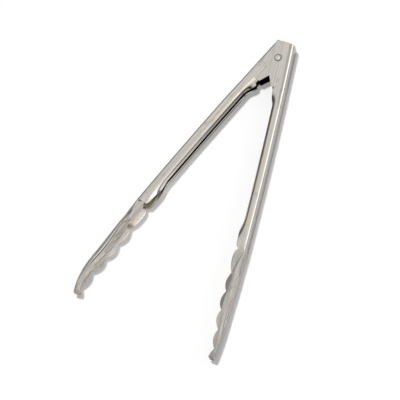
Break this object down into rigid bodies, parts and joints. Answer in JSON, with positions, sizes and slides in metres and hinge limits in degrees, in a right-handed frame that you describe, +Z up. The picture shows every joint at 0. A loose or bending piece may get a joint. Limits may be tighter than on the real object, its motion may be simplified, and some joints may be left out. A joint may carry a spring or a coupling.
{
  "type": "kitchen tongs",
  "caption": "Stainless steel utility tongs with scalloped scoop heads, channel arms nested on a rivet, and a coil spring that holds them open.",
  "frame": {"origin": "where the rivet's axis meets the surface that the tongs lie on, which is the outer face of the rivet's lower head", "axes": "+Z up along the rivet; +Y from the tips to the pivot along the middle of the opening; outer arm on the side of +X"},
  "size_m": [0.1458, 0.2917, 0.0232],
  "materials": {
    "arm_steel": "bright rolled stainless sheet, satin on the heads",
    "rivet_steel": "stainless, rolled head with a ring mark",
    "spring_wire": "drawn stainless spring wire"
  },
  "bodies": {
    "outer_half": {"outer_arm": "arm_steel", "rivet": "rivet_steel", "torsion_spring": "spring_wire"},
    "inner_half": {"inner_arm": "arm_steel"}
  },
  "joints": [
    {"name": "pivot", "type": "hinge", "parent": "outer_half", "child": "inner_half", "pos_m": [0, 0, 0.0116], "axis": [0, 0, 1], "range_deg": [0, 27.4], "stiffness_Nm_per_rad": 1, "springref_deg": -14.32, "deforming": ["torsion_spring"]}
  ]
}
